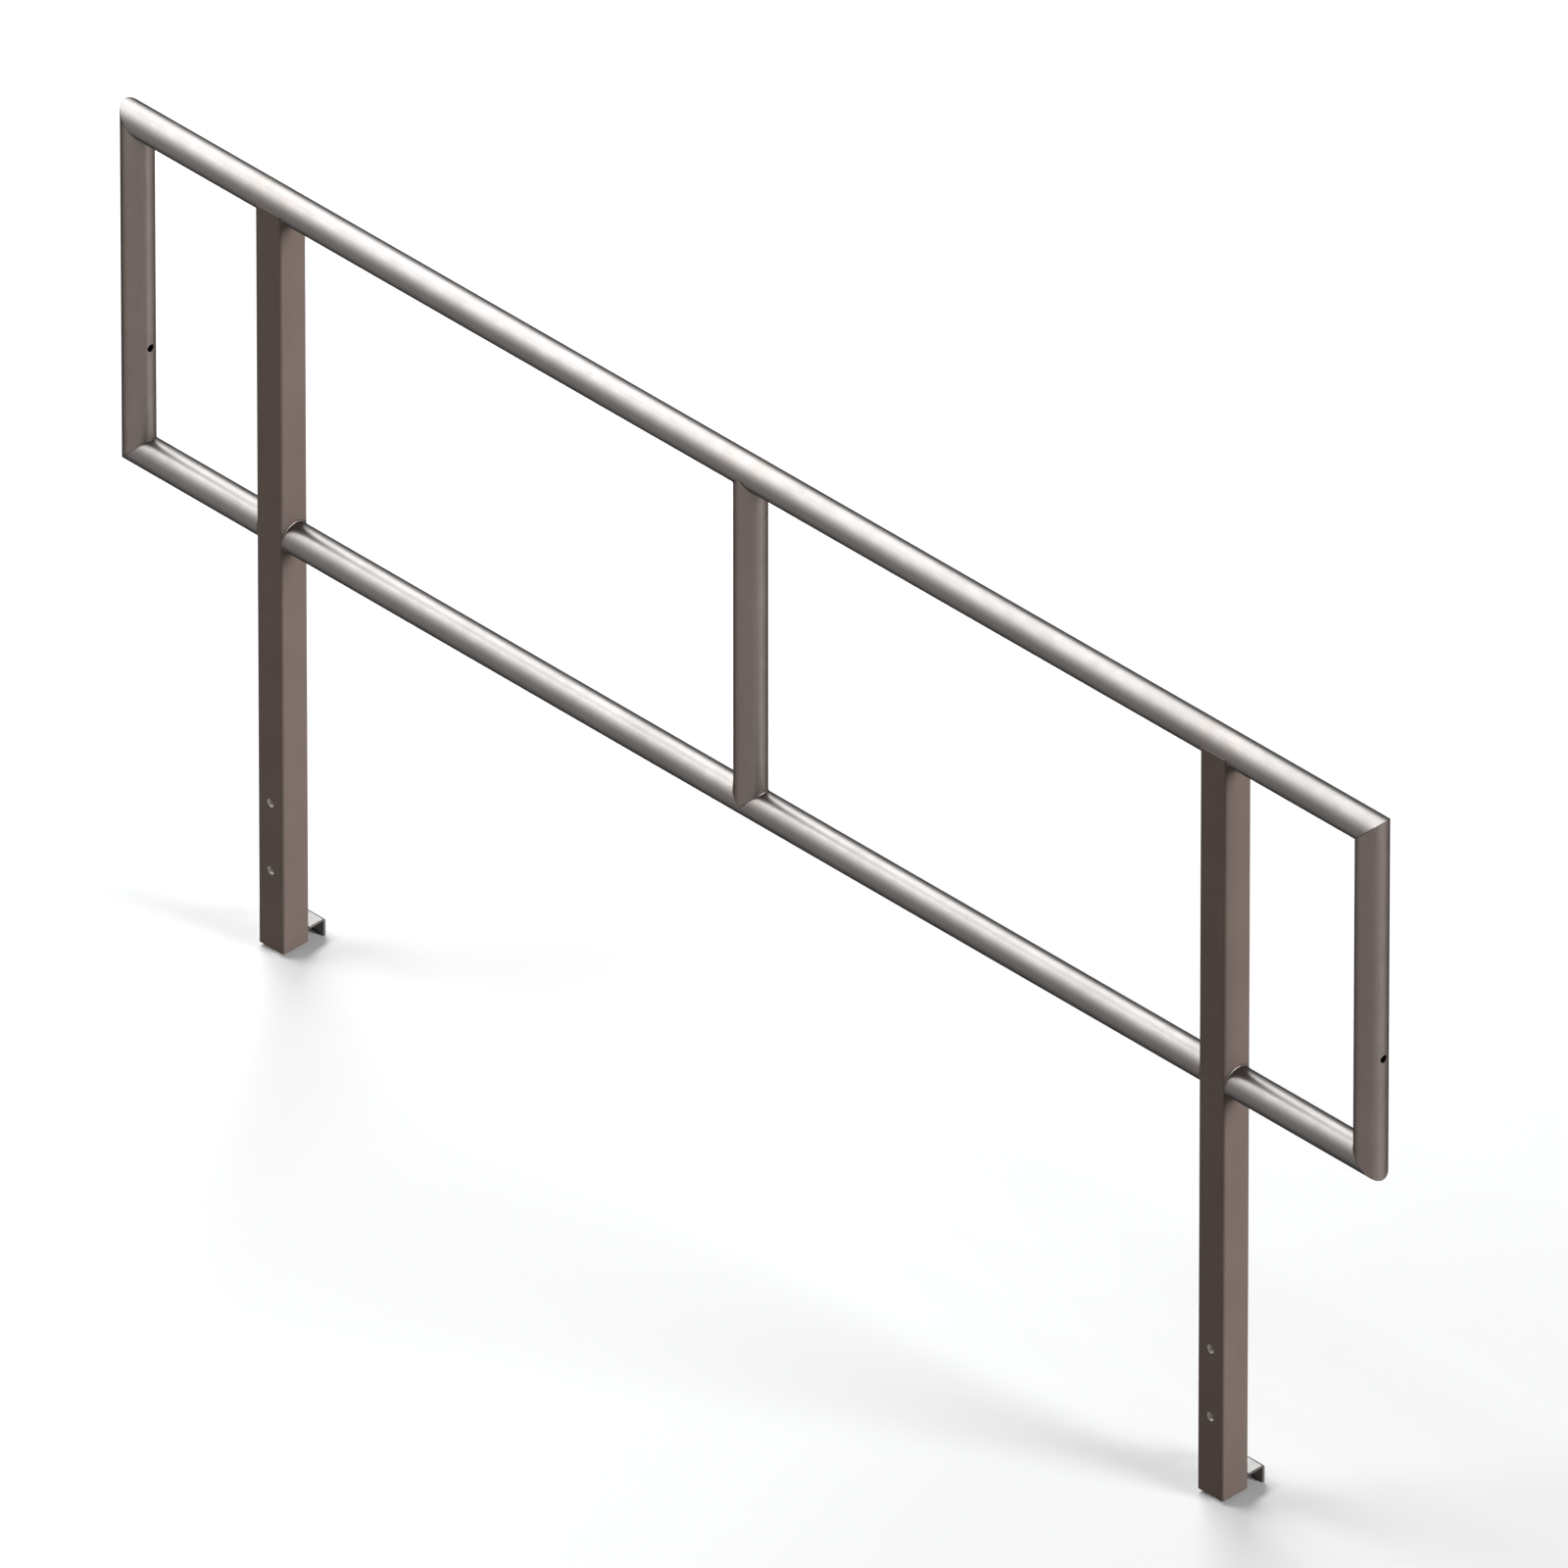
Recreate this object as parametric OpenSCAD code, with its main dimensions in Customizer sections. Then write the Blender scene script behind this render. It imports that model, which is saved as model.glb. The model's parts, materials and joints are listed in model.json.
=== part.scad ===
// Guard handrail for the edge of a raised deck or bridge: a level frame of round steel tube on two square
// posts. At its foot each post hooks over a ledge of the structure, and two bolts hold it to the face above.
// The origin is on the underside of the left hook, where it meets the back face of the left post, midway
// across the post: the outer top corner of the ledge sits there. X runs along the rail towards the right
// post, Y points from the posts to the structure, and Z is up.

/* [Overall] */
// Length over both end tubes
overall_l = 2438; // [2100:1:3200]
// Height from the foot of the posts to the top of the top rail
overall_h = 1270; // [1000:1:1600]
// Distance between the two rails, centre to centre
rail_spacing = 550; // [350:1:700]

/* [Round tube] */
// Outside diameter of the rails, end tubes and mid upright
tube_d = 48.3; // [38:0.1:50]
// Wall of the round tube
tube_wall = 3.2; // [2:0.1:5]
// Clearance of a coped end around the rail that it sits on
cope_gap = 0.05; // [0.02:0.01:0.3]

/* [Posts] */
// Distance between the two posts, centre to centre
post_spacing = 1829; // [1200:1:1900]
// Width of a square post, both ways
post_w = 50; // [50:1:70]
// Wall of a post
post_wall = 3; // [2:0.1:5]
// Inside corner radius of a post
post_inner_r = 1; // [0.5:0.5:4]
// How far the flat edges of a coped post end below the axis of the top rail
post_top_drop = 4; // [2:1:12]

/* [Holes] */
// Diameter of a bolt hole through a post
bolt_d = 13; // [10:0.5:18]
// Distance between the two bolt holes of a post
bolt_spacing = 114; // [80:1:160]
// Height of the lower bolt hole above the foot of the post
bolt_h = 132; // [80:1:200]
// Diameter of the hole through each end tube, for a pin that links two panels
link_d = 12; // [8:0.5:18]
// Height of that hole above the axis of the lower rail
link_h = 178; // [60:1:300]

/* [Deck hooks] */
// How far a hook reaches out from the back face of the post
hook_reach = 31.5; // [25:0.5:60]
// Plate thickness of a hook
hook_t = 4; // [3:0.5:8]
// Inside bend radius of a hook
hook_inner_r = 2; // [1:0.5:6]
// Height of the top of a hook above the foot of the post
hook_h = 24; // [15:1:60]
// Outside height of the lip that turns down
hook_lip = 30; // [20:1:60]

/* [Hidden] */
$fn = 96;

tube_colour = [0.45, 0.40, 0.37];
post_colour = [0.36, 0.31, 0.29];
hook_colour = [0.50, 0.46, 0.43];

tube_r = tube_d / 2;
past = 1;                                   // how far a cutting shape runs past what it cuts

// Heights in the frame of the origin
foot_z = hook_t - hook_h;                   // bottom of the posts
low_bolt_z = foot_z + bolt_h;
top_z = foot_z + overall_h - tube_r;        // axis of the top rail
low_z = top_z - rail_spacing;               // axis of the lower rail
link_z = low_z + link_h;

// Places along X and Y
left_post_x = 0;
right_post_x = post_spacing;
mid_x = post_spacing / 2;
end_offset = (overall_l - tube_d) / 2;      // from the middle to the axis of an end tube
left_end_x = mid_x - end_offset;
right_end_x = mid_x + end_offset;
rail_y = -post_w / 2;                       // the plane that holds the axis of every tube

// ---- Shapes that repeat ----

// A round tube along X, from one x to another, with its axis at height z
module tube_along_x(from_x, to_x, z) {
    translate([from_x, rail_y, z])
        rotate([0, 90, 0])
            difference() {
                cylinder(h = to_x - from_x, r = tube_r);
                translate([0, 0, -past])
                    cylinder(h = to_x - from_x + 2 * past, r = tube_r - tube_wall);
            }
}

// A round tube along Z, from one z to another, with its axis at x
module tube_along_z(x, from_z, to_z) {
    translate([x, rail_y, from_z])
        difference() {
            cylinder(h = to_z - from_z, r = tube_r);
            translate([0, 0, -past])
                cylinder(h = to_z - from_z + 2 * past, r = tube_r - tube_wall);
        }
}

// The space that a rail fills, a little larger, for the coped ends that sit on it
module rail_space(from_x, to_x, z) {
    translate([from_x, rail_y, z])
        rotate([0, 90, 0])
            cylinder(h = to_x - from_x, r = tube_r + cope_gap);
}

// A slab across the tubes with the given outline in X and Z, for trimming a tube to its mitres
module outline_xz(points) {
    translate([0, rail_y + tube_d, 0])
        rotate([90, 0, 0])
            linear_extrude(height = 2 * tube_d)
                polygon(points);
}

// The square outline of a post, with round corners
module rounded_square(w, r) {
    square([w, w - 2 * r], center = true);
    square([w - 2 * r, w], center = true);
    for (sx = [-1, 1], sy = [-1, 1])
        translate([sx * (w / 2 - r), sy * (w / 2 - r)])
            circle(r = r);
}

// ---- Tubes of the frame ----

// The top rail, mitred at both ends
module top_rail() {
    color(tube_colour)
        intersection() {
            tube_along_x(left_end_x - tube_d, right_end_x + tube_d, top_z);
            outline_xz([
                [left_end_x - tube_d, top_z + tube_d],
                [right_end_x + tube_d, top_z + tube_d],
                [right_end_x - tube_d, top_z - tube_d],
                [left_end_x + tube_d, top_z - tube_d]
            ]);
        }
}

// A short length of the lower rail, from the mitre at an end tube to the side of its post.
// side is -1 at the left and 1 at the right.
module lower_rail_stub(side) {
    end_x = mid_x + side * end_offset;
    post_side_x = mid_x + side * (post_spacing + post_w) / 2;
    outer_x = end_x + side * tube_d;
    color(tube_colour)
        intersection() {
            tube_along_x(min(outer_x, post_side_x), max(outer_x, post_side_x), low_z);
            outline_xz([
                [outer_x, low_z - tube_d],
                [end_x - side * tube_d, low_z + tube_d],
                [post_side_x - side * tube_d, low_z + tube_d],
                [post_side_x - side * tube_d, low_z - tube_d]
            ]);
        }
}

// The lower rail between the two posts
module lower_rail_centre() {
    color(tube_colour)
        tube_along_x(left_post_x + post_w / 2, right_post_x - post_w / 2, low_z);
}

// An end tube, mitred to both rails and drilled through for the link pin
module end_tube(side) {
    x = mid_x + side * end_offset;
    color(tube_colour)
        difference() {
            intersection() {
                tube_along_z(x, low_z - tube_d, top_z + tube_d);
                outline_xz([
                    [x + side * tube_d, low_z - tube_d],
                    [x + side * tube_d, top_z + tube_d],
                    [x - side * tube_d, top_z - tube_d],
                    [x - side * tube_d, low_z + tube_d]
                ]);
            }
            translate([x - tube_r - past, rail_y, link_z])
                rotate([0, 90, 0])
                    cylinder(h = tube_d + 2 * past, d = link_d);
        }
}

// The upright in the middle, coped to both rails
module mid_upright() {
    color(tube_colour)
        difference() {
            tube_along_z(mid_x, low_z, top_z);
            rail_space(mid_x - tube_d, mid_x + tube_d, top_z);
            rail_space(mid_x - tube_d, mid_x + tube_d, low_z);
        }
}

// ---- Posts and their hooks ----

// A square post, coped under the top rail and drilled through for its two bolts
module post(x) {
    top_h = top_z - post_top_drop - foot_z;
    color(post_colour)
        difference() {
            translate([x, rail_y, foot_z])
                linear_extrude(height = top_h)
                    difference() {
                        rounded_square(post_w, post_inner_r + post_wall);
                        rounded_square(post_w - 2 * post_wall, post_inner_r);
                    }
            rail_space(x - post_w, x + post_w, top_z);
            for (z = [low_bolt_z, low_bolt_z + bolt_spacing])
                translate([x, rail_y + post_w / 2 + past, z])
                    rotate([90, 0, 0])
                        cylinder(h = post_w + 2 * past, d = bolt_d);
        }
}

// The outline of a bent plate hook: Y to the right, Z up, its underside at 0
module hook_outline() {
    outer_r = hook_inner_r + hook_t;
    bend_y = hook_reach - outer_r;          // centre of the bend
    bend_z = -hook_inner_r;
    square([bend_y, hook_t]);
    translate([bend_y + hook_inner_r, hook_t - hook_lip])
        square([hook_t, hook_lip - outer_r]);
    translate([bend_y, bend_z])
        intersection() {
            difference() {
                circle(r = outer_r);
                circle(r = hook_inner_r);
            }
            square(outer_r);
        }
}

// A hook of bent plate, welded to the back of its post, as wide as the post
module hook(x) {
    color(hook_colour)
        translate([x - post_w / 2, 0, 0])
            rotate([90, 0, 90])
                linear_extrude(height = post_w)
                    hook_outline();
}

// ---- Nodes ----

module lower_rail_left() { lower_rail_stub(-1); }
module lower_rail_right() { lower_rail_stub(1); }
module left_end_tube() { end_tube(-1); }
module right_end_tube() { end_tube(1); }
module left_post() { post(left_post_x); }
module right_post() { post(right_post_x); }
module left_hook() { hook(left_post_x); }
module right_hook() { hook(right_post_x); }

top_rail();
lower_rail_left();
lower_rail_centre();
lower_rail_right();
left_end_tube();
right_end_tube();
mid_upright();
left_post();
right_post();
left_hook();
right_hook();
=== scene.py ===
"""A guard handrail panel of dark satin steel: its finishes, its weld beads and a plain studio."""
import json
import math

import bpy
from bpy.props import FloatProperty, FloatVectorProperty, PointerProperty
from mathutils import Matrix, Vector


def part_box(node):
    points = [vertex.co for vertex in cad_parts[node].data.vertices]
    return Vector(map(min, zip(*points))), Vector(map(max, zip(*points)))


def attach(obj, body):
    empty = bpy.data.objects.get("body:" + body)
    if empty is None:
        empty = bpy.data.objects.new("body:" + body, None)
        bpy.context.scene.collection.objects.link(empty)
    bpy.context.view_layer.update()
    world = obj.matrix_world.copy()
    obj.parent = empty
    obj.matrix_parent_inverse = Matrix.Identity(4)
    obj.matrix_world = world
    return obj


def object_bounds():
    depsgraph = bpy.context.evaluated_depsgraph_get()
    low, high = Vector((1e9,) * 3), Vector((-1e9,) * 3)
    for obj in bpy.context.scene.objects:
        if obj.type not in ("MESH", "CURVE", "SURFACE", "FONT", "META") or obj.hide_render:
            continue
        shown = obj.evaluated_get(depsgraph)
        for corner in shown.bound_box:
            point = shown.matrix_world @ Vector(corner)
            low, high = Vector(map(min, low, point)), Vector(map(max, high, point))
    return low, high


bl_info = {
    "name": "Guard handrail finish",
    "version": (1, 0, 0),
    "blender": (4, 5, 0),
    "location": "3D View > Sidebar > Handrail",
    "description": "Finishes, weld beads and studio for a tubular guard handrail panel",
    "category": "Object",
}

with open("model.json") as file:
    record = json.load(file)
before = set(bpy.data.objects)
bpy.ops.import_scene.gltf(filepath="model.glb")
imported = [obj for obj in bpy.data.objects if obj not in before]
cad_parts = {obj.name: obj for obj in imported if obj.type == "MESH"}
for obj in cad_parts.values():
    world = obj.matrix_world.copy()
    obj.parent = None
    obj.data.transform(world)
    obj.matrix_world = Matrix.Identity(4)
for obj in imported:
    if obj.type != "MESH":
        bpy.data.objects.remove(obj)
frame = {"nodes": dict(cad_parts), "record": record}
CAD_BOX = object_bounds()

BODY = "root"
RAILS = ("top_rail", "lower_rail_left", "lower_rail_centre", "lower_rail_right")
UPRIGHTS = ("left_end_tube", "right_end_tube", "mid_upright")
POSTS = ("left_post", "right_post")
HOOKS = ("left_hook", "right_hook")
ALONG_X, ALONG_Z = (0.03, 1.0, 1.0), (1.0, 1.0, 0.03)   # stretch of the grain

HEAT_NEAR, HEAT_FAR, HEAT_TINT = 0.002, 0.016, 0.12     # heat tint beside a weld
BUMP_STRENGTH, BUMP_DISTANCE = 0.25, 0.00008

BEAD_SIDES = 14                             # corners round a bead
BEAD_FLAT = 0.9                             # height of a bead as a share of its width
RIPPLE_STEPS = 6                            # steps along a bead to each ripple
LEAST_STEPS = 12
CORNER_STEPS = 9                            # steps round a corner of a post
SADDLE_LONGER, MITRE_LONGER = 1.1, 1.2      # length of a seam against the tube's round

SLEEVE_SIDES = 72
SLEEVE_SET_BACK = 0.0003                    # how far a sleeve ends behind the face of its post
SLEEVE_BORE, SLEEVE_FIT, SLEEVE_BODY = 0.0061, 0.0064, 0.0088
SLEEVE_CHAMFER, SLEEVE_CHAMFER_LONG = 0.0003, 0.0006
SLEEVE_SHARP = math.radians(35)
POST_WALL = 0.0030

VIEW = Vector((1, -1, 1)).normalized()      # from the panel towards the camera
LOOK_AT = Vector((0.5147, 0.4393, 0.2709))
SENSOR_WIDTH = 36.0
FLOOR_REACH, FLOOR_GAP = 200.0, 0.0002
SKY_COLOUR = (0.95, 0.955, 0.96, 1)
SOFTBOX_AWAY, SOFTBOX_WIDTH = 13.0, 3.2
# Overhead strip in four parts, brightest at the back: name, how far round the rails it shows
# (degrees from level, towards the front), length and radiance
SOFTBOXES = (
    ("front", 31, 4.6, 3.0),
    ("middle", 45, 4.6, 10.5),
    ("back", 57, 3.6, 21.5),
    ("top", 78, 12.0, 19.5),
)
SIDE_LIGHT_FROM, SIDE_LIGHT_ENERGY = (0.93, 0.28, 0.13), 11.5
SIDE_LIGHT_ANGLE = math.radians(24)


# ---- Sizes read from the frame ----


def centre(node):
    """The middle of a part's box."""
    low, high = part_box(node)
    return (low + high) / 2


TUBE_R = (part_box("lower_rail_centre")[1].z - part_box("lower_rail_centre")[0].z) / 2
RAIL_Y = centre("top_rail").y
TOP_Z = centre("top_rail").z
LOW_Z = centre("lower_rail_centre").z
POST_HALF = (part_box("left_post")[1].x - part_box("left_post")[0].x) / 2
POST_TOP_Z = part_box("left_post")[1].z
POST_CORNER = 0.004
POST_X = [centre(node).x for node in POSTS]
MID_X = centre("mid_upright").x
END_X = [centre("left_end_tube").x, centre("right_end_tube").x]
BOLTS = next(m for m in frame["record"]["mounts"] if m["name"] == "left_post_bolts")
BOLT_Z = [BOLTS["pos_m"][2] + s * BOLTS["dims"]["spacing_y_mm"] / 2000 for s in (-1, 1)]
WELD_X = sorted(
    [x + s * POST_HALF for x in POST_X for s in (-1, 1)]
    + [MID_X + s * TUBE_R for s in (-1, 1)]
)


# ---- Settings ----


class HandrailFinish(bpy.types.PropertyGroup):
    """Colours and surface of the steel."""

    rail_colour: FloatVectorProperty(
        name="Rail colour", description="Satin steel of the rails",
        subtype="COLOR", size=3, min=0, max=1, default=(0.136, 0.122, 0.116))
    # Painted light: the uprights are the same steel as the rails, written slightly lighter and
    # browner so the vertical tubes, which the overhead strips miss, render lighter
    upright_colour_with_painted_light: FloatVectorProperty(
        name="Upright colour with painted light", description="Satin steel of the end tubes and the mid upright",
        subtype="COLOR", size=3, min=0, max=1, default=(0.153, 0.124, 0.112))
    post_colour: FloatVectorProperty(
        name="Post colour", description="Mill steel of the square posts",
        subtype="COLOR", size=3, min=0, max=1, default=(0.077, 0.055, 0.047))
    plate_colour: FloatVectorProperty(
        name="Plate colour", description="Cut and bent plate of the hooks",
        subtype="COLOR", size=3, min=0, max=1, default=(0.138, 0.127, 0.121))
    weld_colour: FloatVectorProperty(
        name="Weld colour", description="Brushed weld metal",
        subtype="COLOR", size=3, min=0, max=1, default=(0.092, 0.078, 0.072))
    # Partly the sleeves' own pale steel, partly painted light: written far paler than the rest of
    # the steel so each bolt hole shows light inside instead of shade
    sleeve_colour_with_painted_light: FloatVectorProperty(
        name="Sleeve colour with painted light", description="Bare steel of the sleeves in the bolt holes",
        subtype="COLOR", size=3, min=0, max=1, default=(0.60, 0.55, 0.50))
    metallic: FloatProperty(
        name="Metallic", description="How much of a tube's surface answers as bare metal",
        subtype="FACTOR", min=0, max=1, default=1.0)
    post_metallic: FloatProperty(
        name="Post metallic", description="How much of a post's surface answers as bare metal",
        subtype="FACTOR", min=0, max=1, default=0.30)
    roughness: FloatProperty(
        name="Roughness", description="Middle roughness of the satin surface",
        subtype="FACTOR", min=0, max=1, default=0.40)
    rim: FloatVectorProperty(
        name="Rim", description="Tint of the gloss at the outline of a part",
        subtype="COLOR", size=3, min=0, max=1, default=(0.0, 0.07, 0.095))
    gloss: FloatProperty(
        name="Gloss", description="Specular level of the part that isn't metal",
        subtype="FACTOR", min=0, max=1, default=0.06)


class HandrailWeld(bpy.types.PropertyGroup):
    """Sizes of the weld beads."""

    bead: FloatProperty(
        name="Bead", description="Half width of a fillet bead",
        unit="LENGTH", min=0.001, max=0.006, default=0.0020)
    seam: FloatProperty(
        name="Seam", description="Half width of a dressed mitre seam",
        unit="LENGTH", min=0.0005, max=0.004, default=0.0012)
    pitch: FloatProperty(
        name="Ripple pitch", description="Distance between two ripples of a bead",
        unit="LENGTH", min=0.001, max=0.006, default=0.0024)
    depth: FloatProperty(
        name="Ripple depth", description="Depth of a ripple as a share of the bead",
        subtype="FACTOR", min=0, max=0.5, default=0.14)


class HandrailStudio(bpy.types.PropertyGroup):
    """Floor, lamps and camera."""

    floor_colour: FloatVectorProperty(
        name="Floor colour", description="Pale studio floor",
        subtype="COLOR", size=3, min=0, max=1, default=(0.575, 0.540, 0.525))
    lamp_colour: FloatVectorProperty(
        name="Lamp colour", description="Daylight of the lamps",
        subtype="COLOR", size=3, min=0, max=1, default=(0.90, 0.97, 1.0))
    fill: FloatProperty(
        name="Fill", description="Strength of the even light from all round",
        min=0, max=2, default=0.10)
    frame_width: FloatProperty(
        name="Frame width", description="Width that the camera takes in",
        unit="LENGTH", min=0.5, max=10, default=2.1665)
    lens: FloatProperty(
        name="Lens", description="Focal length of the camera in millimetres",
        min=50, max=1700, default=1700)


# ---- Shader building ----


def new_node(tree, kind, values=(), **settings):
    """Adds a node, sets its attributes, then fills its inputs with values or links."""
    node = tree.nodes.new(kind)
    for key, value in settings.items():
        setattr(node, key, value)
    for key, value in dict(values).items():
        if isinstance(value, bpy.types.NodeSocket):
            tree.links.new(value, node.inputs[key])
        else:
            node.inputs[key].default_value = value
    return node


def math_node(tree, operation, a, b=0.0, clamp=False):
    """One step of arithmetic."""
    node = new_node(tree, "ShaderNodeMath", {0: a, 1: b}, operation=operation)
    node.use_clamp = clamp
    return node.outputs[0]


def spread(tree, value, low, high, to_low=0.0, to_high=1.0):
    """Maps a value from one range to another, clamped."""
    values = {"Value": value, "From Min": low, "From Max": high,
              "To Min": to_low, "To Max": to_high}
    return new_node(tree, "ShaderNodeMapRange", values).outputs["Result"]


def new_group(name, inputs, outputs):
    """An empty shader group with named sockets; returns it with its two end nodes."""
    group = bpy.data.node_groups.new(name, "ShaderNodeTree")
    for label, kind, default in inputs:
        socket = group.interface.new_socket(label, in_out="INPUT", socket_type=kind)
        socket.default_value = default
    for label, kind in outputs:
        group.interface.new_socket(label, in_out="OUTPUT", socket_type=kind)
    return group, group.nodes.new("NodeGroupInput"), group.nodes.new("NodeGroupOutput")


def steel_group():
    """Grain, clouds, scratches and heat tint of steel, as colour, roughness and height."""
    name = "Steel surface"
    if name in bpy.data.node_groups:
        return bpy.data.node_groups[name]
    value, vector, colour = "NodeSocketFloat", "NodeSocketVector", "NodeSocketColor"
    group, given, made = new_group(
        name,
        [("Position", vector, (0, 0, 0)), ("Stretch", vector, (1, 1, 1)),
         ("Colour", colour, (0.1, 0.1, 0.1, 1)), ("Roughness", value, 0.35),
         ("Grain", value, 0.1), ("Cloud", value, 0.1), ("Scratch", value, 0.2),
         ("Heat", value, 0.0)],
        [("Colour", colour), ("Roughness", value), ("Height", value)],
    )
    place = given.outputs["Position"]
    along = new_node(group, "ShaderNodeVectorMath",
                     {0: place, 1: given.outputs["Stretch"]}, operation="MULTIPLY").outputs[0]
    fine = new_node(group, "ShaderNodeTexNoise",
                    {"Vector": along, "Scale": 2600.0, "Detail": 3.0, "Roughness": 0.6}).outputs[0]
    coarse = new_node(group, "ShaderNodeTexNoise",
                      {"Vector": along, "Scale": 420.0, "Detail": 2.0, "Roughness": 0.5}).outputs[0]
    grain = math_node(group, "ADD", math_node(group, "MULTIPLY", fine, 0.65),
                      math_node(group, "MULTIPLY", coarse, 0.35))
    cloud = new_node(group, "ShaderNodeTexNoise",
                     {"Vector": place, "Scale": 9.0, "Detail": 4.0, "Roughness": 0.55}).outputs[0]
    blotch = new_node(group, "ShaderNodeTexNoise",
                      {"Vector": place, "Scale": 55.0, "Detail": 3.0, "Roughness": 0.5}).outputs[0]
    # Thin handling scratches: the edges of large stretched cells, kept only in places
    bent = new_node(group, "ShaderNodeVectorMath",
                    {0: place, 1: (38.0, 21.0, 9.0)}, operation="MULTIPLY").outputs[0]
    cells = new_node(group, "ShaderNodeTexVoronoi", {"Vector": bent, "Scale": 1.0},
                     feature="DISTANCE_TO_EDGE").outputs["Distance"]
    patch = new_node(group, "ShaderNodeTexNoise",
                     {"Vector": place, "Scale": 6.5, "Detail": 2.0}).outputs[0]
    scratch = math_node(group, "MULTIPLY", spread(group, cells, 0.002, 0.007, 1.0, 0.0),
                        spread(group, patch, 0.52, 0.62))
    scratch = math_node(group, "MULTIPLY", scratch, given.outputs["Scratch"])
    # Colour: grain and clouds move it up and down, scratches show brighter metal
    shift = math_node(group, "ADD",
                      math_node(group, "MULTIPLY", math_node(group, "SUBTRACT", grain, 0.5),
                                given.outputs["Grain"]),
                      math_node(group, "MULTIPLY", math_node(group, "SUBTRACT", cloud, 0.5),
                                given.outputs["Cloud"]))
    bright = math_node(group, "ADD", shift, 1.0)
    bright = math_node(group, "ADD", bright, scratch)
    tone = new_node(group, "ShaderNodeVectorMath",
                    {0: given.outputs["Colour"], "Scale": bright}, operation="SCALE").outputs[0]
    # Heat tint beside the welds: straw, then blue
    tint = new_node(group, "ShaderNodeValToRGB", {"Fac": given.outputs["Heat"]})
    ramp = tint.color_ramp
    ramp.elements[0].color = (1, 1, 1, 1)
    ramp.elements[1].color = (0.80, 0.88, 1.02, 1)
    ramp.elements.new(0.45).color = (1.04, 0.93, 0.80, 1)
    tone = new_node(group, "ShaderNodeVectorMath", {0: tone, 1: tint.outputs["Color"]},
                    operation="MULTIPLY").outputs[0]
    group.links.new(tone, made.inputs["Colour"])
    rough = math_node(group, "ADD", given.outputs["Roughness"],
                      math_node(group, "MULTIPLY", math_node(group, "SUBTRACT", blotch, 0.5), 0.10))
    rough = math_node(group, "ADD", rough,
                      math_node(group, "MULTIPLY", math_node(group, "SUBTRACT", grain, 0.5), 0.08))
    rough = math_node(group, "SUBTRACT", rough, math_node(group, "MULTIPLY", scratch, 0.1))
    group.links.new(rough, made.inputs["Roughness"])
    height = math_node(group, "ADD", math_node(group, "MULTIPLY", grain, given.outputs["Grain"]),
                       math_node(group, "MULTIPLY", scratch, -0.12))
    group.links.new(height, made.inputs["Height"])
    return group


def nearest(tree, value, places):
    """Distance from a coordinate to the nearest of some places."""
    found = None
    for place in places:
        gap = math_node(tree, "ABSOLUTE", math_node(tree, "SUBTRACT", value, place))
        found = gap if found is None else math_node(tree, "MINIMUM", found, gap)
    return found


def steel(name, colour, stretch, heat_axis=None, heat_at=(), **wanted):
    """A steel material. heat_axis and heat_at place the heat tint beside its welds."""
    finish = bpy.context.scene.handrail_finish
    material = bpy.data.materials.new(name)
    material.use_nodes = True
    tree = material.node_tree
    tree.nodes.clear()
    place = new_node(tree, "ShaderNodeTexCoord").outputs["Object"]
    surface = new_node(tree, "ShaderNodeGroup", node_tree=steel_group())
    surface.inputs["Stretch"].default_value = stretch
    surface.inputs["Colour"].default_value = (*colour, 1)
    surface.inputs["Roughness"].default_value = wanted.get("roughness", finish.roughness)
    surface.inputs["Grain"].default_value = wanted.get("grain", 0.22)
    surface.inputs["Cloud"].default_value = wanted.get("cloud", 0.28)
    surface.inputs["Scratch"].default_value = wanted.get("scratch", 0.10)
    tree.links.new(place, surface.inputs["Position"])
    if heat_at:
        parts = new_node(tree, "ShaderNodeSeparateXYZ", {0: place})
        gap = nearest(tree, parts.outputs[heat_axis], heat_at)
        heat = spread(tree, gap, HEAT_NEAR, HEAT_FAR, HEAT_TINT, 0.0)
        tree.links.new(heat, surface.inputs["Heat"])
    bump = new_node(tree, "ShaderNodeBump",
                    {"Height": surface.outputs["Height"],
                     "Strength": BUMP_STRENGTH, "Distance": BUMP_DISTANCE})
    shader = new_node(tree, "ShaderNodeBsdfPrincipled", {
        "Base Color": surface.outputs["Colour"], "Roughness": surface.outputs["Roughness"],
        "Normal": bump.outputs[0],
        "Metallic": wanted.get("metallic", finish.metallic),
        "Specular Tint": (*finish.rim, 1),
        "Specular IOR Level": finish.gloss,
    })
    new_node(tree, "ShaderNodeOutputMaterial", {"Surface": shader.outputs[0]}, target="ALL")
    return material


def paint(nodes, material):
    """Puts a material on parts of the frame."""
    for node in nodes:
        part = frame["nodes"][node]
        if not part.material_slots:
            raise RuntimeError(f"{node} has no material slot to paint")
        for index in range(len(part.material_slots)):
            part.material_slots[index].material = material


# ---- Added pieces ----


def add_part(name, verts, faces, material, sharp=None):
    """Makes a smooth piece that rides the body. Edges past the angle in sharp stay hard."""
    mesh = bpy.data.meshes.new(name)
    mesh.from_pydata(verts, [], faces)
    mesh.validate()
    mesh.shade_smooth()
    if sharp is not None:
        mesh.set_sharp_from_angle(angle=sharp)
    mesh.materials.append(material)
    part = bpy.data.objects.new(name, mesh)
    bpy.context.scene.collection.objects.link(part)
    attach(part, BODY)


# ---- Weld beads ----


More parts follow.
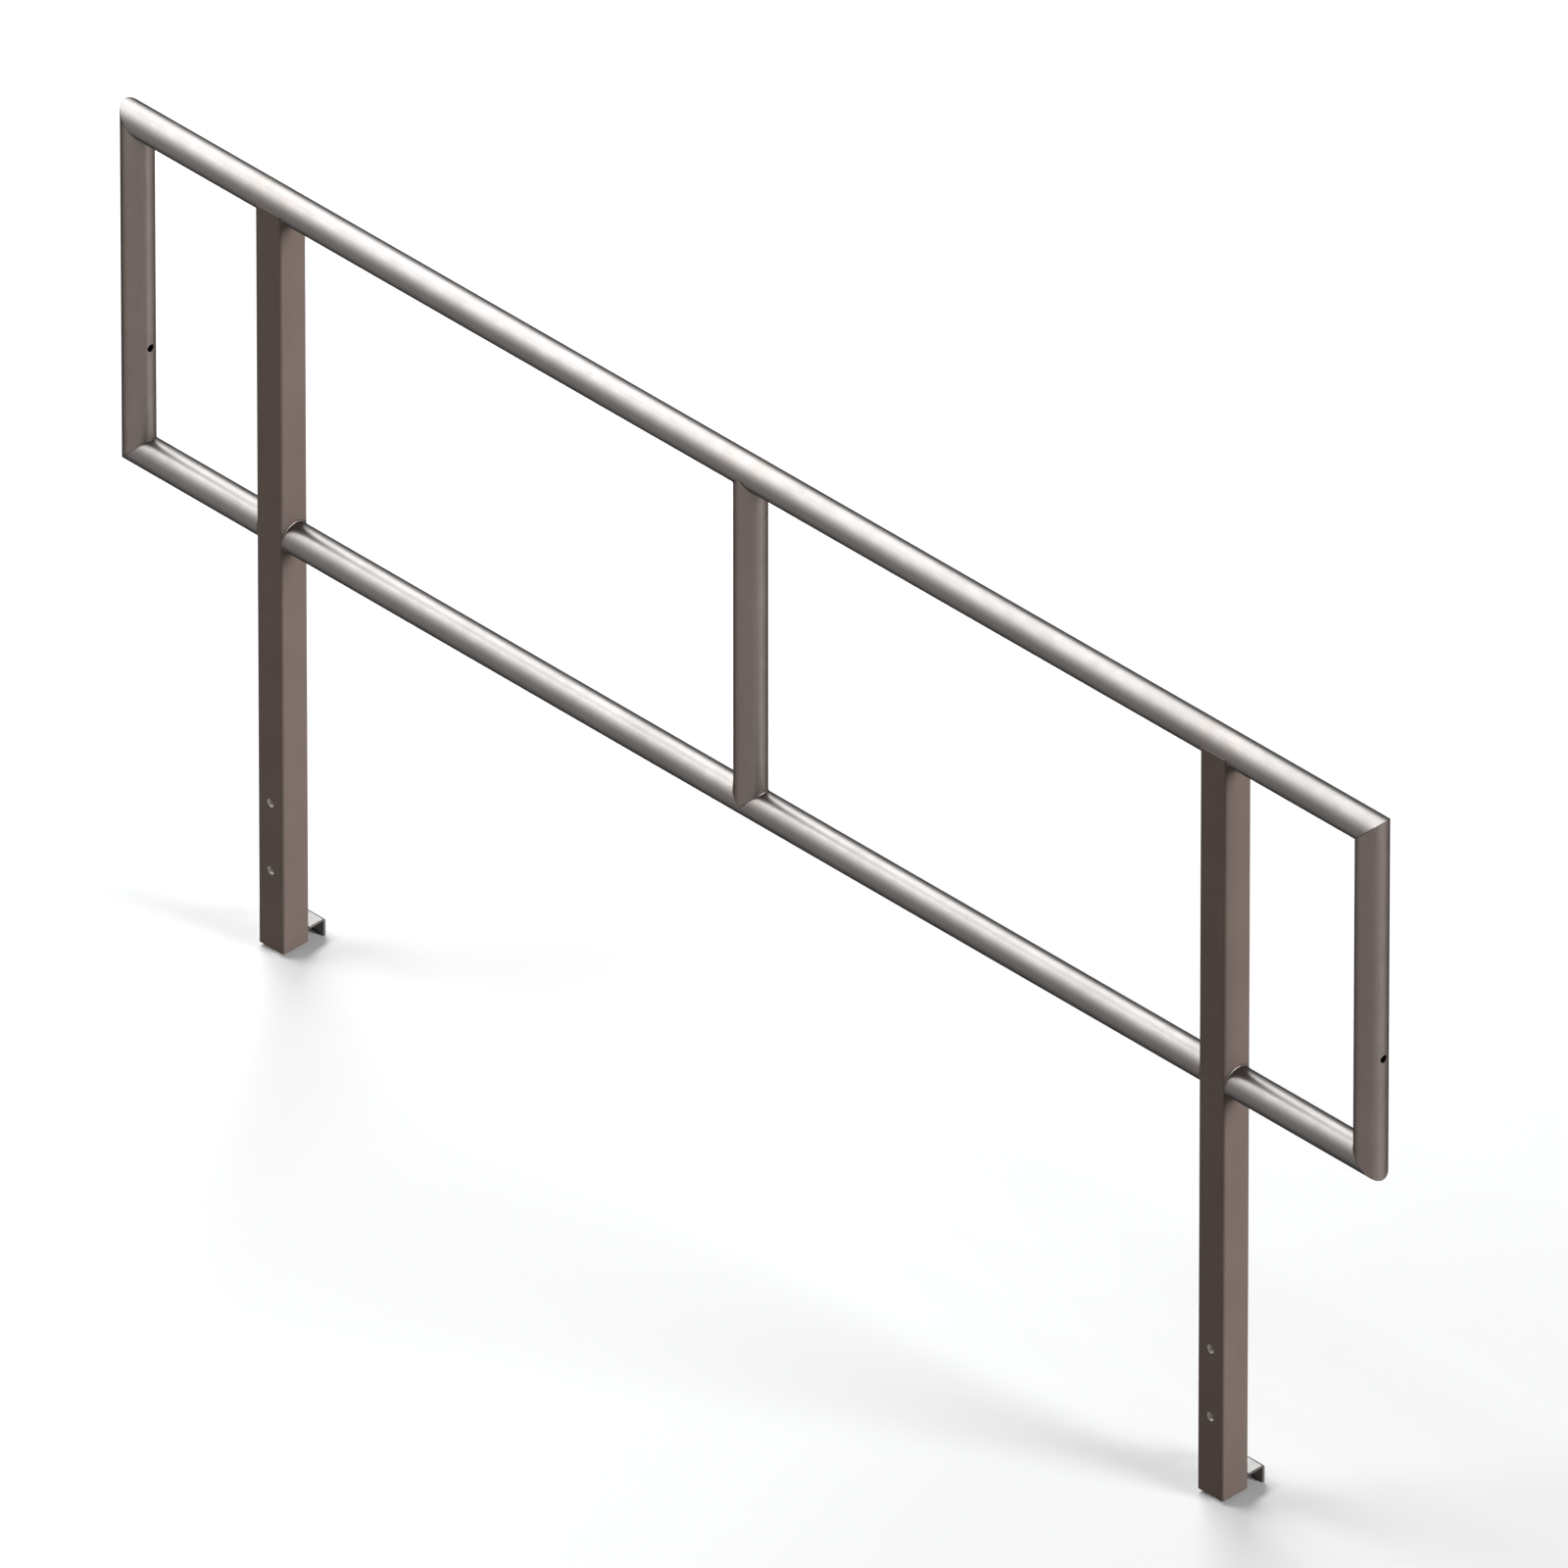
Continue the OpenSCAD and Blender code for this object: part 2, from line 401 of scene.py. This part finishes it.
def bead_mesh(name, path, material, closed=True):
    """A rippled bead along a path of (place, outward direction, half width, sinking) rows."""
    weld = bpy.context.scene.handrail_weld
    sides = BEAD_SIDES
    count = len(path)
    verts, faces = [], []
    run = 0.0
    for i, (place, outward, half, sink) in enumerate(path):
        before = path[i - 1 if closed else max(i - 1, 0)][0]
        after = path[(i + 1) % count if closed else min(i + 1, count - 1)][0]
        if i:
            run += (place - before).length
        heading = (after - before).normalized()
        up = (outward - heading * outward.dot(heading)).normalized()
        across = heading.cross(up)
        wander = 1 + 0.05 * math.sin(run * 210 + 1.3) + 0.04 * math.sin(run * 547)
        for k in range(sides):
            turn = 2 * math.pi * k / sides
            curl = BEAD_FLAT * half * abs(math.sin(turn))
            scallop = abs(math.sin(math.pi * (run + curl) / weld.pitch)) ** 0.7
            size = half * wander * (1 - weld.depth + weld.depth * scallop)
            corner = (place + up * (math.cos(turn) * size * BEAD_FLAT - sink)
                      + across * math.sin(turn) * size)
            verts.append(tuple(corner))
    for i in range(count if closed else count - 1):
        j = (i + 1) % count
        for k in range(sides):
            m = (k + 1) % sides
            faces.append((i * sides + k, i * sides + m, j * sides + m, j * sides + k))
    if not closed:
        faces.append(tuple(range(sides))[::-1])
        faces.append(tuple((count - 1) * sides + k for k in range(sides)))
    add_part(name, verts, faces, material)


def steps_for(length):
    """How many steps a bead of this length takes."""
    pitch = bpy.context.scene.handrail_weld.pitch
    return max(LEAST_STEPS, round(length / pitch * RIPPLE_STEPS))


def post_depth(offset):
    """How far the side of a post stands from its middle, at this distance off its centre line."""
    flat = POST_HALF - POST_CORNER
    off = min(abs(offset), POST_HALF) - flat
    return POST_HALF if off <= 0 else flat + math.sqrt(max(POST_CORNER ** 2 - off ** 2, 0))


def ring_on_post(post_x, side):
    """Path of the fillet where a rail butts the side of a post."""
    half = bpy.context.scene.handrail_weld.bead
    path = []
    count = steps_for(2 * math.pi * TUBE_R)
    for i in range(count):
        turn = 2 * math.pi * i / count
        lean = abs(math.sin(turn))
        radial = Vector((0, math.sin(turn), math.cos(turn)))
        reach = min(TUBE_R, (POST_HALF - half) / max(lean, 0.01))
        depth = post_depth(TUBE_R * lean)
        place = Vector((post_x + side * depth, RAIL_Y, LOW_Z)) + radial * reach
        outward = (radial + Vector((side, 0, 0))).normalized()
        path.append((place, outward, half, half * 0.15))
    return path


def saddle(rail_z, side):
    """Path of the weld where the mid upright meets a rail; side is 1 below it, -1 above it."""
    half = bpy.context.scene.handrail_weld.bead
    path = []
    count = steps_for(2 * math.pi * TUBE_R * SADDLE_LONGER)
    for i in range(count):
        turn = 2 * math.pi * i / count
        c, s = math.cos(turn), math.sin(turn)
        lift = TUBE_R * abs(c)
        place = Vector((MID_X + TUBE_R * c, RAIL_Y + TUBE_R * s, rail_z - side * lift))
        outward = (Vector((c, s, 0)) + Vector((0, s, -side * abs(c)))).normalized()
        open_angle = abs(c)                     # 1 in the crotch, 0 where the tubes run flush
        size = half * (0.45 + 0.55 * open_angle)
        sink = size * (0.80 - 0.65 * open_angle)
        path.append((place, outward, size, sink))
    return path


def post_top_loop(post_x):
    """Path of the weld round the coped top of a post, under the top rail."""
    half = bpy.context.scene.handrail_weld.bead
    path = []
    flat = POST_HALF - POST_CORNER
    edge = TOP_Z - POST_TOP_Z
    reach = math.sqrt(TUBE_R ** 2 - edge ** 2)
    quarter = [(flat, -flat, 0), (flat, flat, 90), (-flat, flat, 180), (-flat, -flat, 270)]
    outline = []
    for (x, y, start), (nx, ny, _) in zip(quarter, quarter[1:] + quarter[:1]):
        for i in range(CORNER_STEPS):
            a = math.radians(start - 90 + i * 90 / CORNER_STEPS)
            outline.append((x + POST_CORNER * math.cos(a), y + POST_CORNER * math.sin(a),
                            math.cos(a), math.sin(a)))
        a = math.radians(start)
        edge_steps = steps_for(2 * flat)
        ux, uy = math.cos(a), math.sin(a)
        for i in range(edge_steps):
            f = i / edge_steps
            outline.append((x + (nx - x) * f + POST_CORNER * ux,
                            y + (ny - y) * f + POST_CORNER * uy, ux, uy))
    for x, y, nx, ny in outline:
        drop = math.sqrt(max(TUBE_R ** 2 - y ** 2, edge ** 2)) if abs(y) < reach else edge
        level = abs(ny)                          # 1 along the flush sides, 0 in the crotch
        size = half * (1 - 0.45 * level)
        sink = size * (0.15 + 0.95 * level)
        place = Vector((post_x + x, RAIL_Y + y, TOP_Z - drop))
        rail_out = Vector((0, y / TUBE_R, -drop / TUBE_R))
        outward = (Vector((nx, ny, 0)) + rail_out * (1 - 0.5 * level)).normalized()
        path.append((place, outward, size, sink))
    return path


def mitre(end_x, rail_z, side, up):
    """Path of the dressed seam of a mitre; side points outwards, up is 1 at the top rail."""
    seam = bpy.context.scene.handrail_weld.seam
    path = []
    count = steps_for(2 * math.pi * TUBE_R * MITRE_LONGER)
    for i in range(count):
        turn = 2 * math.pi * i / count
        c, s = math.cos(turn), math.sin(turn)
        place = Vector((end_x + side * TUBE_R * c, RAIL_Y + TUBE_R * s, rail_z + up * TUBE_R * c))
        outward = (Vector((side * c, s, 0)) + Vector((0, s, up * c))).normalized()
        outer = max(c, 0.0) ** 3                # the bead is ground flush at the outer corner
        size = seam * (1 - 0.55 * outer)
        path.append((place, outward, size, size * (0.62 + 0.88 * outer)))
    return path


def hook_line(post_x):
    """Path of the fillet along the top of a hook, where it meets the back of its post."""
    half = bpy.context.scene.handrail_weld.bead
    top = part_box("left_hook")[1].z
    reach = POST_HALF - POST_CORNER
    count = steps_for(2 * reach)
    path = []
    for i in range(count + 1):
        f = i / count
        taper = min(1.0, math.sin(math.pi * f) * 5 + 0.15)      # thin at both ends
        place = Vector((post_x - reach + 2 * reach * f, 0, top))
        path.append((place, Vector((0, 1, 1)).normalized(), half * taper, half * 0.15))
    return path


# ---- Sleeves in the bolt holes ----


def sleeve(name, post_x, height, material):
    """A shouldered sleeve that lines a bolt hole and stands between the two walls of a post."""
    front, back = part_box("left_post")[0].y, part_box("left_post")[1].y
    near, far = front + SLEEVE_SET_BACK, back - SLEEVE_SET_BACK
    mouth = SLEEVE_BORE + SLEEVE_CHAMFER
    outline = [
        (mouth, near), (SLEEVE_FIT, near),
        (SLEEVE_FIT, front + POST_WALL), (SLEEVE_BODY, front + POST_WALL),
        (SLEEVE_BODY, back - POST_WALL), (SLEEVE_FIT, back - POST_WALL),
        (SLEEVE_FIT, far), (mouth, far),
        (SLEEVE_BORE, far - SLEEVE_CHAMFER_LONG), (SLEEVE_BORE, near + SLEEVE_CHAMFER_LONG),
    ]
    verts, faces = [], []
    for i in range(SLEEVE_SIDES):
        turn = 2 * math.pi * i / SLEEVE_SIDES
        for radius, y in outline:
            verts.append((post_x + radius * math.cos(turn), y, height + radius * math.sin(turn)))
    rows = len(outline)
    for i in range(SLEEVE_SIDES):
        j = (i + 1) % SLEEVE_SIDES
        for k in range(rows):
            m = (k + 1) % rows
            faces.append((i * rows + k, j * rows + k, j * rows + m, i * rows + m))
    add_part(name, verts, faces, material, sharp=SLEEVE_SHARP)


# ---- Operators ----


class HANDRAIL_OT_finish_rails(bpy.types.Operator):
    """Give the rails their satin steel, with grain along X"""

    bl_idname = "handrail.finish_rails"
    bl_label = "Finish rails"

    def execute(self, context):
        finish = context.scene.handrail_finish
        paint(RAILS, steel("Rail steel", finish.rail_colour, ALONG_X, "X", WELD_X))
        return {"FINISHED"}


class HANDRAIL_OT_finish_uprights(bpy.types.Operator):
    """Give the end tubes and the mid upright their satin steel, with grain along Z, written
    slightly lighter and browner than the rail steel as painted light
    """

    bl_idname = "handrail.finish_uprights"
    bl_label = "Finish uprights"

    def execute(self, context):
        finish = context.scene.handrail_finish
        # Painted light: the same steel as the rails, written slightly lighter and browner for the
        # vertical tubes
        paint(UPRIGHTS, steel("Upright steel with painted light", finish.upright_colour_with_painted_light, ALONG_Z))
        return {"FINISHED"}


class HANDRAIL_OT_finish_posts(bpy.types.Operator):
    """Give the square posts their mill steel"""

    bl_idname = "handrail.finish_posts"
    bl_label = "Finish posts"

    def execute(self, context):
        finish = context.scene.handrail_finish
        material = steel("Post steel", finish.post_colour, ALONG_Z, cloud=0.30,
                         metallic=finish.post_metallic, roughness=0.36)
        paint(POSTS, material)
        return {"FINISHED"}


class HANDRAIL_OT_finish_hooks(bpy.types.Operator):
    """Give the bent plate hooks their steel"""

    bl_idname = "handrail.finish_hooks"
    bl_label = "Finish hooks"

    def execute(self, context):
        finish = context.scene.handrail_finish
        material = steel("Hook steel", finish.plate_colour, ALONG_X, scratch=0.5)
        paint(HOOKS, material)
        return {"FINISHED"}


def weld_metal():
    """The material shared by the beads."""
    name = "Weld steel"
    found = bpy.data.materials.get(name)
    colour = bpy.context.scene.handrail_finish.weld_colour
    return found or steel(name, colour, (1, 1, 1), cloud=0.4, grain=0.3,
                          scratch=0.0, roughness=0.48)


class HANDRAIL_OT_weld_lower_rail(bpy.types.Operator):
    """Weld the lengths of the lower rail to the sides of the posts"""

    bl_idname = "handrail.weld_lower_rail"
    bl_label = "Weld lower rail"

    def execute(self, context):
        for post, x in zip(POSTS, POST_X):
            for side, word in ((-1, "outer" if x < MID_X else "inner"),
                               (1, "inner" if x < MID_X else "outer")):
                bead_mesh(f"{post}_{word}_weld", ring_on_post(x, side), weld_metal())
        return {"FINISHED"}


class HANDRAIL_OT_weld_upright(bpy.types.Operator):
    """Weld the mid upright to both rails"""

    bl_idname = "handrail.weld_upright"
    bl_label = "Weld mid upright"

    def execute(self, context):
        bead_mesh("mid_upright_top_weld", saddle(TOP_Z, 1), weld_metal())
        bead_mesh("mid_upright_low_weld", saddle(LOW_Z, -1), weld_metal())
        return {"FINISHED"}


class HANDRAIL_OT_weld_post_tops(bpy.types.Operator):
    """Weld the coped tops of the posts under the top rail"""

    bl_idname = "handrail.weld_post_tops"
    bl_label = "Weld post tops"

    def execute(self, context):
        for post, x in zip(POSTS, POST_X):
            bead_mesh(f"{post}_top_weld", post_top_loop(x), weld_metal())
        return {"FINISHED"}


class HANDRAIL_OT_weld_mitres(bpy.types.Operator):
    """Lay the dressed seams of the four mitred corners"""

    bl_idname = "handrail.weld_mitres"
    bl_label = "Weld mitres"

    def execute(self, context):
        for x, side, word in ((END_X[0], -1, "left"), (END_X[1], 1, "right")):
            for level, rail_z, up in (("top", TOP_Z, 1), ("low", LOW_Z, -1)):
                bead_mesh(f"{word}_{level}_mitre_weld", mitre(x, rail_z, side, up),
                          weld_metal())
        return {"FINISHED"}


class HANDRAIL_OT_weld_hooks(bpy.types.Operator):
    """Weld the hooks to the backs of the posts"""

    bl_idname = "handrail.weld_hooks"
    bl_label = "Weld hooks"

    def execute(self, context):
        for hook, x in zip(HOOKS, POST_X):
            bead_mesh(f"{hook}_weld", hook_line(x), weld_metal(), closed=False)
        return {"FINISHED"}


class HANDRAIL_OT_fit_sleeves(bpy.types.Operator):
    """Line the bolt holes of the posts with sleeves"""

    bl_idname = "handrail.fit_sleeves"
    bl_label = "Fit sleeves"

    def execute(self, context):
        finish = context.scene.handrail_finish
        # Partly the sleeves' own pale steel, partly painted light that lightens the inside of each
        # bolt hole
        material = steel("Sleeve steel with painted light", finish.sleeve_colour_with_painted_light, (1.0, 0.2, 1.0), cloud=0.2,
                         scratch=0.0, metallic=0.2, roughness=0.5)
        for post, x in zip(POSTS, POST_X):
            for word, height in zip(("low", "high"), BOLT_Z):
                sleeve(f"{post}_{word}_sleeve", x, height, material)
        return {"FINISHED"}


def lamp(name, kind, direction, distance=0.0, target=(0, 0, 0), along=(0, 1, 0), **settings):
    """A lamp that shines from a direction onto a target, its long side turned towards along."""
    data = bpy.data.lights.new(name, kind)
    for key, value in settings.items():
        setattr(data, key, value)
    thing = bpy.data.objects.new(name, data)
    away = Vector(direction).normalized()
    wide = Vector(along).cross(away).normalized()
    turned = Matrix((wide, away.cross(wide), away)).transposed()
    thing.matrix_world = Matrix.Translation(Vector(target) + away * distance) @ turned.to_4x4()
    thing.visible_camera = False
    bpy.context.scene.collection.objects.link(thing)


def lay_floor(studio):
    """A wide pale floor just under the feet of the posts."""
    reach = FLOOR_REACH
    level = CAD_BOX[0].z - FLOOR_GAP
    mesh = bpy.data.meshes.new("floor")
    mesh.from_pydata([(-reach, -reach, level), (reach, -reach, level),
                      (reach, reach, level), (-reach, reach, level)], [], [(0, 1, 2, 3)])
    floor = bpy.data.objects.new("floor", mesh)
    bpy.context.scene.collection.objects.link(floor)
    material = bpy.data.materials.new("Pale floor")
    material.use_nodes = True
    shader = material.node_tree.nodes["Principled BSDF"]
    shader.inputs["Base Color"].default_value = (*studio.floor_colour, 1)
    shader.inputs["Roughness"].default_value = 0.9
    shader.inputs["Specular IOR Level"].default_value = 0.1
    mesh.materials.append(material)


def build_world(studio):
    """White where the world is seen or mirrored, a lower even fill for the rest."""
    world = bpy.data.worlds.new("studio")
    bpy.context.scene.world = world
    world.use_nodes = True
    tree = world.node_tree
    tree.nodes.clear()
    rays = new_node(tree, "ShaderNodeLightPath")
    seen = math_node(tree, "ADD", rays.outputs["Is Camera Ray"], rays.outputs["Is Glossy Ray"])
    seen = math_node(tree, "ADD", seen, rays.outputs["Is Transmission Ray"], clamp=True)
    strength = spread(tree, seen, 0.0, 1.0, studio.fill, 1.0)
    sky = new_node(tree, "ShaderNodeBackground", {"Color": SKY_COLOUR, "Strength": strength})
    new_node(tree, "ShaderNodeOutputWorld", {"Surface": sky.outputs[0]})


def hang_lamps(studio):
    """The overhead strips, hung where the rails mirror them to the camera, and a sun."""
    middle = (CAD_BOX[0] + CAD_BOX[1]) / 2
    for word, angle, length, radiance in SOFTBOXES:
        normal = Vector((0, -math.cos(math.radians(angle)), math.sin(math.radians(angle))))
        shine = normal * (2 * normal.dot(VIEW)) - VIEW
        lamp(f"overhead {word} softbox", "AREA", shine, SOFTBOX_AWAY, middle,
             along=Vector((1, 0, 0)).cross(shine), shape="RECTANGLE", size=SOFTBOX_WIDTH,
             size_y=length, energy=radiance * math.pi * SOFTBOX_WIDTH * length,
             color=studio.lamp_colour)
    lamp("side light", "SUN", SIDE_LIGHT_FROM, energy=SIDE_LIGHT_ENERGY,
         angle=SIDE_LIGHT_ANGLE, color=studio.lamp_colour)


def set_camera(studio):
    """The level panel seen from above its front right corner, through a very long lens."""
    data = bpy.data.cameras.new("camera")
    data.lens = studio.lens
    data.sensor_width = SENSOR_WIDTH
    distance = studio.frame_width * studio.lens / SENSOR_WIDTH
    data.clip_start, data.clip_end = 1.0, distance * 4
    camera = bpy.data.objects.new("camera", data)
    camera.location = LOOK_AT + VIEW * distance
    camera.rotation_mode = "QUATERNION"
    camera.rotation_quaternion = VIEW.to_track_quat("Z", "Y")
    bpy.context.scene.collection.objects.link(camera)
    bpy.context.scene.camera = camera


class HANDRAIL_OT_studio(bpy.types.Operator):
    """Lay the pale floor, hang the lamps and set the camera"""

    bl_idname = "handrail.studio"
    bl_label = "Build studio"

    def execute(self, context):
        studio = context.scene.handrail_studio
        lay_floor(studio)
        build_world(studio)
        hang_lamps(studio)
        set_camera(studio)
        context.scene.view_settings.view_transform = "Standard"
        return {"FINISHED"}


class HANDRAIL_PT_panel(bpy.types.Panel):
    """The steps of the handrail's finish"""

    bl_label = "Handrail"
    bl_idname = "HANDRAIL_PT_panel"
    bl_space_type = "VIEW_3D"
    bl_region_type = "UI"
    bl_category = "Handrail"

    def draw(self, context):
        column = self.layout.column()
        for group in (context.scene.handrail_finish, context.scene.handrail_weld,
                      context.scene.handrail_studio):
            for key in group.__annotations__:
                column.prop(group, key)
        for step in STEPS:
            column.operator(step.bl_idname)


STEPS = (
    HANDRAIL_OT_finish_rails, HANDRAIL_OT_finish_uprights, HANDRAIL_OT_finish_posts,
    HANDRAIL_OT_finish_hooks, HANDRAIL_OT_weld_lower_rail, HANDRAIL_OT_weld_upright,
    HANDRAIL_OT_weld_post_tops, HANDRAIL_OT_weld_mitres, HANDRAIL_OT_weld_hooks,
    HANDRAIL_OT_fit_sleeves, HANDRAIL_OT_studio,
)
CLASSES = (HandrailFinish, HandrailWeld, HandrailStudio, *STEPS, HANDRAIL_PT_panel)


def register():
    """Registers the classes and hangs the settings on the scene."""
    for made in CLASSES:
        bpy.utils.register_class(made)
    bpy.types.Scene.handrail_finish = PointerProperty(type=HandrailFinish)
    bpy.types.Scene.handrail_weld = PointerProperty(type=HandrailWeld)
    bpy.types.Scene.handrail_studio = PointerProperty(type=HandrailStudio)


def unregister():
    """Takes the settings and the classes away again."""
    del bpy.types.Scene.handrail_studio
    del bpy.types.Scene.handrail_weld
    del bpy.types.Scene.handrail_finish
    for made in reversed(CLASSES):
        bpy.utils.unregister_class(made)


def main():
    """Runs every step in order."""
    register()
    for step in STEPS:
        family, name = step.bl_idname.split(".")
        getattr(getattr(bpy.ops, family), name)()


if __name__ == "__main__":
    main()
